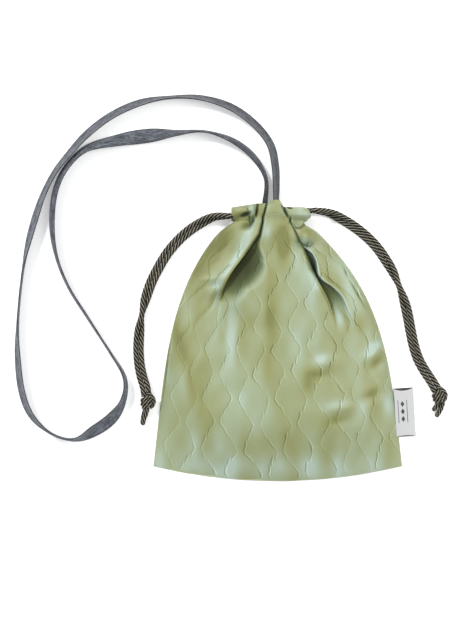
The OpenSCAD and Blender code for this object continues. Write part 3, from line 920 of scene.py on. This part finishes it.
def front_shape(u, v):
    """Points of the front cloth from the bottom seam to the neck, its relief, the painted shade of its deep
    places and crease grooves, the left valley's painted shade, and the crease lips, which get a painted
    highlight.
    """
    x, y = plan(u, v)
    left, right = plan(np.full_like(v, -1), v)[0], plan(np.full_like(v, 1), v)[0]
    slit = smooth(mix(0.87, 0.945, smooth(0.86, 1, np.abs(u))), 1.0, v)
    rim = mix(RIM_Z, CASING["front"][0][2] + 1.2, slit)
    top = rim + (RIM_Z + crown(v) - rim) * arch(u, v) * mix(PUFF, 1, slit)
    inside = 1 - np.abs(u) ** 10
    flute = smooth(0.15, 0.6, v) * smooth(1.0, 0.8, v) * (
        0.9 * np.sin(2 * math.pi * (2.1 * u + 0.20)) + 0.5 * np.sin(2 * math.pi * (3.7 * u + 0.62)))
    billow = 1.3 * value_noise(x * 1.5, y * 0.7, 34, 3) + 0.6 * value_noise(x * 1.3, y, 17, 4)
    z = top + inside * (0.6 * flute + billow)
    height1, push1, shade1 = left_fold(x, y)
    height2, push2, shade2 = right_fold(x, y)
    z = z + inside * (height1 + height2)
    deep = crevice_depth(x, y)
    z = z + inside * hills(x, y, FRONT_HILLS) - 2.6 * deep
    lip, dark, pillow = trellis(x, y, left, right)
    faint = mix(0.6, 1, smooth(-115, -20, x)) * smooth(0, 0.02, v) * (1 - 0.75 * smooth(96, 112, y))
    faint = faint * (1 - 0.7 * np.clip(shade1 + shade2, 0, 1))
    smoothed = z + inside * 0.4 * pillow * smooth(118, 90, y)
    z = smoothed + inside * faint * (1.2 * lip - 0.75 * dark)
    # shade is painted shade: crevices, holes, both folds' valleys, soft dimples and the dark sides of the
    # crease grooves.
    shade = np.clip(np.maximum(deep, shade1 + shade2 + hills(x, y, SOFT_SHADES)) + 0.22 * faint * dark, 0, 1)
    return np.stack([x + push1 + push2, y, z], -1), smoothed - top, shade, shade1, faint * lip


# Hills and dents of the front cloth: x, y, radii, turn, height.
FRONT_HILLS = [
    (-8, 110, 5.5, 9, -14, 1.8), (28.5, 106, 8, 7.5, 10, 6.6), (-31, 116, 4.5, 4, 20, -2.8),
    (-64, 57, 7, 3.4, 10, -1.9), (-68, 64, 9, 2.6, 6, 1.0), (-63, 46, 2.6, 9, -20, -1.6),
    (45, -20, 12, 6, 5, 1.8), (42, -33, 11, 5, 0, -1.6), (96, -11, 12, 5, 30, 2.0),
    (101, -22, 10, 5, 30, -1.8), (60, -65, 13, 5, 8, 1.7), (62, -78, 12, 5, 8, -1.4),
    (92, -54, 12, 5, 20, -1.4), (-50, 20, 5, 22, -8, -1.2), (-40, 5, 6, 24, -6, 1.0),
    (-112, -30, 2.2, 26, 7, -1.0), (70, 30, 5, 24, 12, -1.6)]


def front_tone(points, local, in_left, lip):
    """How olive (1) or aqua (0) the satin looks: a painted sheen by slope, aqua where the cloth faces the
    light from the left, olive painted shade in the left valley, paler crease lips as a painted highlight, and
    a few broad patches.
    """
    x, y = points[..., 0], points[..., 1]
    kernel = np.hanning(15)
    kernel = kernel / kernel.sum()
    spread = lambda r: np.convolve(np.pad(r, len(kernel) // 2, mode="edge"), kernel, "valid")
    slope = np.gradient(local, axis=1) / np.maximum(np.gradient(x, axis=1), 0.25)
    for axis in (0, 1):
        slope = np.apply_along_axis(spread, axis, slope)
    # Aqua where the slope faces the light, olive where it faces away: painted sheen and shade.
    tone = 0.48 - 0.42 * np.tanh(slope * 3.0) + 0.7 * in_left
    tone = tone + 0.18 * value_noise(x * 1.6, y * 0.45, 26, 31) + 0.08 * value_noise(x, y * 0.6, 12, 32)
    return np.clip(tone + hills(x, y, TONE_PATCHES) - 0.12 * lip, 0, 1)


# Broad patches of tone, partly the satin's own two-tone, partly painted sheen (aqua) and painted shade
# (olive): x, y, radii, turn, amount (positive is olive).
TONE_PATCHES = [
    (-8, 110, 5, 9, -12, -0.3), (6, 102, 7, 15, 0, 0.75), (14, 112, 4, 8, -30, -0.2), (4, 85, 6, 20, 0, 0.3),
    (-8, 20, 7, 26, 0, 0.4), (-12, -25, 6, 22, 0, 0.3), (-78, -60, 9, 50, 6, 0.3), (-104, 20, 6, 60, 13, 0.4),
    (-96, -30, 5, 25, 5, -0.3), (-45, -50, 14, 55, 0, -0.25), (-88, 20, 6, 40, 14, -0.2),
    (45, -15, 13, 6, 5, -0.4), (40, -30, 12, 6, 0, 0.3), (95, -5, 12, 6, 30, -0.55),
    (100, -18, 10, 5, 30, 0.35),
    (60, -60, 13, 6, 8, -0.45), (62, -75, 12, 6, 8, 0.25), (92, -50, 13, 7, 15, 0.35),
    (110, -60, 6, 14, 10, -0.4), (28, -40, 6, 12, 0, 0.3), (-68, 92, 12, 26, -38, 0.75),
    (-45, 80, 4, 20, -37, -0.55), (-33, 104, 5, 12, -30, -0.25), (0, -125, 120, 14, 0, -0.35),
    (-20, 98, 4, 8, -30, 0.4), (-35, 122, 9, 5, 0, 0.3), (24, 110, 6, 6, -20, 0.7),
    (32, 101, 5, 4, 0, -0.3), (50, 80, 8, 16, 35, -0.15),
    (81, 20, 8, 10, 0, 0.5), (61, 24, 5, 9, 10, -0.5), (36, 66, 5, 14, 20, -0.7), (50, 50, 9, 6, -20, 0.3),
    (-66, 58, 8, 4, 0, -0.35), (-55, 30, 8, 16, -10, -0.3), (20, 0, 7, 20, 0, -0.2)]

CLOTH_COLUMNS, CLOTH_ROWS = 441, 481


def across_samples(count):
    """Cloth columns, closer together near the side seams where the cloth turns down."""
    t = np.linspace(-1, 1, count)
    return mix(t, np.sin(t * math.pi / 2), 0.35)


# The mouth's edge: a lobe left of the tab, the taller tab, and a flat piece right of it.
MOUTH_EDGE = np.array([
    (-47, 132.5), (-45, 134.6), (-21, 138.6), (-11.5, 139), (-10, 139.6), (-7, 141.6), (-2, 142.6),
    (1.5, 142), (4, 137.5), (5.5, 135.2), (26, 135.2), (30, 133), (34, 129)])


def mouth_top(x):
    return np.interp(x, MOUTH_EDGE[:, 0], MOUTH_EDGE[:, 1])


def casing_rows(row, low_z, high_z):
    """Rows of cloth from the stitch line over the mouth's edge and back down inside."""
    x, y0, z0 = row[:, 0], row[:, 1], row[:, 2]
    u = np.linspace(-1, 1, len(x))
    to_left, to_right = smooth(-0.3, -1, u), smooth(0.3, 1, u)
    top = mouth_top(x)
    outer = []
    for t in np.linspace(0.03, 1, 40):
        wide = (5.2 * to_right * math.sin(math.pi * t) ** 0.6
                - 2.8 * to_left * math.sin(0.5 * math.pi * min(1.6 * t, 1)))
        z = mix(z0, high_z + 1.4, smooth(0, 0.5, t)) - 3.4 * smooth(0.7, 1, t) ** 2 - 3.2 * np.abs(u) ** 7
        outer.append(np.stack([x + wide, mix(y0, top, t), z], 1))
    inner = []
    for a in np.linspace(0.25, 1, 5):
        edge = outer[-1].copy()
        edge[:, 1] += 0.5 * math.sin(math.pi * a) - 1.6 * (1 - math.cos(a * math.pi / 2))
        edge[:, 2] = mix(outer[-1][:, 2], low_z - 1.2, math.sin(a * math.pi / 2))
        inner.append(edge)
    folded = inner[-1]
    for t in np.linspace(0.12, 1, 9):
        wall = folded.copy()
        wall[:, 1] = mix(folded[:, 1], NECK_Y + 0.8, t)
        inner.append(wall)
    return np.array(outer), np.array(inner)


# Lobes of the gathered casing: x, y, radii, turn, height.
NECK_HILLS = [(-38, 131, 6, 3, 10, 1.1), (-30, 123, 5, 3, 25, -1.0), (-25.8, 130.5, 2.6, 6.5, -14, 2.6),
              (-16.5, 130, 3.2, 8, -8, 0.5), (-3, 134, 6, 9, 0, 1.2), (20, 130, 9, 5, -5, 0.8),
              (12, 122, 5, 3, -30, -0.8), (24, 122, 4, 4, 0, 0.6)]


def add_front_cloth():
    u = across_samples(CLOTH_COLUMNS)
    v = np.linspace(0, 1, CLOTH_ROWS)
    uu, vv = np.meshgrid(u, v)
    body, local, shade, in_left, lip = front_shape(uu, vv)
    tone = front_tone(body, local, in_left, lip)
    outer, inner = casing_rows(body[-1], CASING["front"][0][2], CASING["front"][1][2])
    x, y = outer[..., 0], outer[..., 1]
    fresh = smooth(0, 0.45, np.linspace(0, 1, len(outer)))[:, None]
    outer[..., 2] += (hills(x, y, NECK_HILLS) - 2.8 * crevice_depth(x, y)) * fresh
    inner[..., 2] = np.minimum(inner[..., 2], outer[-1][None, :, 2])
    neck_tone = 0.55 + 0.25 * value_noise(x * 1.6, y, 9, 41) + hills(x, y, NECK_TONES)
    neck_tone = mix(tone[-1][None, :], np.clip(neck_tone, 0, 1), fresh)
    # neck_shade is painted shade in the casing's crevices, holes and dimples.
    neck_shade = mix(shade[-1][None, :], np.maximum(crevice_depth(x, y), hills(x, y, SOFT_SHADES)), fresh)
    points = np.concatenate([body, outer, inner])
    # The cloth folded inside the casing gets an olive tone and painted shade of 0.25.
    tones = np.concatenate([tone, neck_tone, np.full(inner.shape[:2], 0.7)])
    shades = np.concatenate([shade, neck_shade, np.full(inner.shape[:2], 0.25)])
    shades = LEVEL + (1 - LEVEL) * shades
    # Lips of the creases go below LEVEL: a painted highlight.
    shades[:len(lip)] -= LEVEL * np.clip(1.3 * lip, 0, 1)
    rows, cols = points.shape[:2]
    cloth = add_mesh("front_cloth", points.reshape(-1, 3), grid_faces(rows, cols).tolist(), SATIN,
                     values={"tone": tones.ravel(), "deep": shades.ravel()})
    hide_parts("front_panel", "front_casing")
    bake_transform(cloth)
    return body, outer


# Patches of tone on the gathered casing, partly the satin's own two-tone, partly painted sheen (aqua) and
# painted shade (olive): x, y, radii, turn, amount (positive is olive).
NECK_TONES = [(-40, 128, 7, 5, 0, 0.3), (-26, 131, 2.8, 6.5, -14, -0.75), (-38, 133.5, 6, 2.4, 8, -0.3),
              (-41, 122, 5, 3, 20, 0.3), (-17, 130, 3, 9, -8, 0.3), (-3, 135, 6, 8, 0, -0.1),
              (20, 128, 10, 8, 0, -0.45)]


def add_back_cloth():
    """The back: the same cloth, lying flat on the table with low creases."""
    u = across_samples(241)
    v = np.linspace(0, 1, 261)
    uu, vv = np.meshgrid(u, v)
    x, y = plan(uu, vv)
    left, right = plan(np.full_like(vv, -1), vv)[0], plan(np.full_like(vv, 1), vv)[0]
    lip, dark, pillow = trellis(-x, y, -right, -left)
    gather = smooth(0.6, 1, vv) * (0.9 + 0.9 * np.sin(uu * 21 + 1.5 * np.sin(uu * 5)))
    inside = 1 - np.abs(uu) ** 16
    z = 0.12 + inside * np.clip(0.45 * (1 - pillow) + 0.3 * dark + 0.5 * gather, 0, 2.2)
    z = z + (RIM_Z - 0.12) * np.abs(uu) ** 30
    z = z + (RIM_Z - 0.12) * (1 - smooth(0, 0.012, vv))
    body = np.stack([x, y, z], -1)
    low_z, high_z = CASING["back"][0][2], CASING["back"][1][2]
    base = body[-1]
    outer, inner = [], []
    top = np.minimum(mouth_top(base[:, 0]), TOP_Y + 0.3)
    wide = np.where(u < 0, -2.6, 5.0) * np.clip((np.abs(u) - 0.4) / 0.6, 0, 1)
    for t in np.linspace(0.05, 1, 20):
        z = base[:, 2] * (1 - 0.5 * t) + 0.25 + 0.5 * np.abs(np.sin(u * 17)) * math.sin(math.pi * t)
        outer.append(np.stack([base[:, 0] + wide * math.sin(math.pi * t) ** 0.6,
                               mix(base[:, 1], top, t), z], 1))
    for a in np.linspace(0.2, 1, 6):
        edge = outer[-1].copy()
        edge[:, 1] += 0.7 * math.sin(math.pi * a)
        edge[:, 2] = mix(outer[-1][:, 2], high_z - 0.1, math.sin(a * math.pi / 2) ** 2)
        inner.append(edge)
    folded = inner[-1]
    for t in np.linspace(0.1, 1, 12):
        wall = folded.copy()
        wall[:, 1] = mix(folded[:, 1], NECK_Y + 0.6, t)
        wall[:, 2] = high_z - 0.1 - 0.5 * np.abs(np.sin(u * 19)) * math.sin(math.pi * t)
        inner.append(wall)
    points = np.concatenate([body, np.array(outer), np.array(inner)])
    rows, cols = points.shape[:2]
    tone = 0.5 + 0.25 * value_noise(points[..., 0] * 1.5, points[..., 1] * 0.6, 24, 51)
    cloth = add_mesh("back_cloth", points.reshape(-1, 3), grid_faces(rows, cols, flip=True).tolist(),
                     SATIN, values={"tone": np.clip(tone, 0, 1).ravel(), "deep": np.full(rows * cols, LEVEL)})
    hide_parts("back_panel", "back_casing")
    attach(cloth, "back")


def lowest_nearby(z, reach):
    """The lowest height within that many grid steps."""
    low = z
    for axis in (0, 1):
        padded = np.pad(low, [(reach, reach) if a == axis else (0, 0) for a in (0, 1)], mode="edge")
        low = np.min([np.take(padded, range(k, k + low.shape[axis]), axis) for k in range(2 * reach + 1)], 0)
    return low


def add_linings(front_body):
    """Both linings, cut from plain cotton, seen only through the mouth. Each lies just inside the
    satin it backs."""
    every = 6
    thinned = (slice(3, -2, every), slice(4, -4, every))
    front = front_body[thinned].copy()
    front[..., 2] = np.maximum(lowest_nearby(front_body[..., 2], every)[thinned] - 1.3, 0.75)
    rows, cols = front.shape[:2]
    uu, vv = np.meshgrid(np.linspace(-0.985, 0.985, cols), np.linspace(0.012, 0.995, rows))
    x, y = plan(uu, vv)
    low = np.minimum(1.25 + 0.25 * value_noise(x, y, 18, 61), 0.4 + 60 * (1 - np.abs(uu)) * vv)
    back = np.stack([x, y, np.maximum(low, 0.4)], -1)
    for name, points, node in (("back_lining_cloth", back, "back_lining"),
                               ("front_lining_cloth", front, "front_lining")):
        lining = add_mesh(name, points.reshape(-1, 3), grid_faces(rows, cols).tolist(), LINING)
        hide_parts(node)
        if node == "back_lining":
            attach(lining, "back")
        else:
            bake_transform(lining)


STITCH_PITCH = 3.2
STITCH_HEIGHTS = np.array([0.02, 0.24, 0.28, 0.28, 0.24, 0.02])     # along one stitch, above the cloth


def add_stitching(name, node, body, cloth, lines):
    """Short stitches lying on the cloth along each line."""
    flat = cloth.reshape(-1, 3)
    parts = []
    for line in lines:
        path = evenly(np.array(line, float), 0.5)
        arc = arc_length(path)
        for k in range(int(arc[-1] // STITCH_PITCH)):
            s = k * STITCH_PITCH + np.linspace(0.4, 2.7, len(STITCH_HEIGHTS))
            xy = np.stack([np.interp(s, arc, path[:, 0]), np.interp(s, arc, path[:, 1])], 1)
            z = [flat[np.argmin((flat[:, 0] - a) ** 2 + (flat[:, 1] - b) ** 2), 2] for a, b in xy]
            parts.append(thread(np.column_stack([xy, np.array(z) + STITCH_HEIGHTS]), 0.24))
    stitches = add_mesh(name, *joined(parts)[:2], THREAD)
    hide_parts(node)
    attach(stitches, body)


# ---------------------------------------------------------------- the label

LABEL_AT = (115.8, -46, 0.2)
LABEL_TURN = 3.5
LABEL_LENGTH = 49
LABEL_FOLD = 2.4


def label_place(out, down, up):
    """From the label's own axes (outwards, down along the seam, up) to the frame."""
    x, y = turned(out, -down, LABEL_TURN)
    return np.stack([LABEL_AT[0] + x, LABEL_AT[1] + y, LABEL_AT[2] + up], -1)


def add_label():
    """A folded ribbon: the upper layer bulges, and its top end is drawn back over the lower one,
    so the loop gapes there."""
    low, high = node_box("side_label")
    reach = min(20, high[0] - LABEL_AT[0] - LABEL_LENGTH * math.sin(math.radians(LABEL_TURN)))
    r = LABEL_FOLD / 2 - 0.15
    path = [(t, LABEL_FOLD - 0.15 + label_bulge(t, reach)) for t in np.linspace(0.6, reach - r, 18)]
    path += [(reach - r + r * math.sin(k), LABEL_FOLD / 2 + r * math.cos(k))
             for k in np.linspace(0, math.pi, 11)[1:-1]]
    path += [(t, 0.15) for t in np.linspace(reach - r, 0.6, 16)]
    path = evenly(np.array(path), 0.6)
    section = thickened(path, 0.12)
    # 1 on the inner faces, for the painted shade inside the loop.
    inner = np.concatenate([np.zeros(len(path)), np.ones(len(path))])
    drawn_back = 2.6 * np.sin(math.pi * np.clip(section[:, 0] / reach, 0, 1)) ** 0.7 * (section[:, 1] > 1.2)
    rows = []
    for t in np.linspace(0, 1, 60):
        down = mix(drawn_back, LABEL_LENGTH - 0.5 * drawn_back, t)
        wave = 0.12 * np.sin(down / 7) * section[:, 0] / reach
        rows.append(label_place(section[:, 0], down, section[:, 1] + wave * (section[:, 1] > 1.2)))
    rings = np.array(rows)
    count, cols = rings.shape[:2]
    faces = grid_faces(count, cols, closed=True).tolist()
    faces += [[(count - 1) * cols * end + k for k in ((i, i + 1, cols - 2 - i, cols - 1 - i) if end else
                                                      (cols - 1 - i, cols - 2 - i, i + 1, i))]
              for end in (0, 1) for i in range(cols // 2 - 1)]
    label = add_mesh("side_label_ribbon", rings.reshape(-1, 3), faces, LABEL,
                     values={"inner": np.tile(inner, count)})
    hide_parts("side_label")
    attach(label, "label")
    add_label_mark(reach)


def label_bulge(out, reach):
    return 0.7 * math.sin(math.pi * min(1, out / reach))


def add_label_mark(reach):
    """A plain printed motif: three lozenges and two thin rules."""
    points, faces = [], []

    def flat_patch(corners):
        start = len(points)
        points.extend(corners)
        faces.append(list(range(start, start + len(corners))))

    for k in range(3):
        cx, cy = reach * 0.42, 16 + 7.5 * k
        flat_patch([(cx + a, cy + b) for a, b in ((0, -3), (1.9, 0), (0, 3), (-1.9, 0))])
    for cx in (reach * 0.42 - 4.4, reach * 0.42 + 4.4):
        flat_patch([(cx + a, b) for a, b in ((-0.25, 12), (0.25, 12), (0.25, 35), (-0.25, 35))])
    p = np.array(points)
    bulge = np.array([label_bulge(t, reach) for t in p[:, 0]]) + 0.12 * np.sin(p[:, 1] / 7) * p[:, 0] / reach
    place = label_place(p[:, 0], p[:, 1], LABEL_FOLD + 0.08 + bulge)
    mark = add_mesh("side_label_motif", place, [f[::-1] for f in faces], INK)
    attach(mark, "label")


# ---------------------------------------------------------------- build

add_surroundings()
add_camera()
add_side_cords("left", LEFT_PAIR, -1)
add_side_cords("right", RIGHT_PAIR, 1)
add_strap()
add_strap_ends()
front_body, front_outer = add_front_cloth()
add_back_cloth()
add_linings(front_body)
neck_rows = np.concatenate([front_body[-40:], front_outer])
add_stitching("front_casing_stitches", "front_casing_stitching", "front", neck_rows,
              [[(-14, 124), (-10, 126.6), (4, 128.4)], [(17.5, 116.2), (23.5, 115.6)]])
back_edge = np.array([[x, y, 0.0] for x in np.arange(NECK_LEFT, NECK_RIGHT, 1.0)
                      for y in (NECK_Y, NECK_Y + 1, NECK_Y + 2)])
back_edge[:, 2] = CASING["back"][1][2] - 0.1
add_stitching("back_casing_stitches", "back_casing_stitching", "back", back_edge,
              [[(NECK_LEFT + 5, NECK_Y + 1.4), (NECK_RIGHT - 5, NECK_Y + 1.4)]])
add_label()
for name in ("left_seam_thread", "right_seam_thread", "bottom_seam_thread"):
    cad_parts[name].data.materials.clear()
    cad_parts[name].data.materials.append(THREAD)
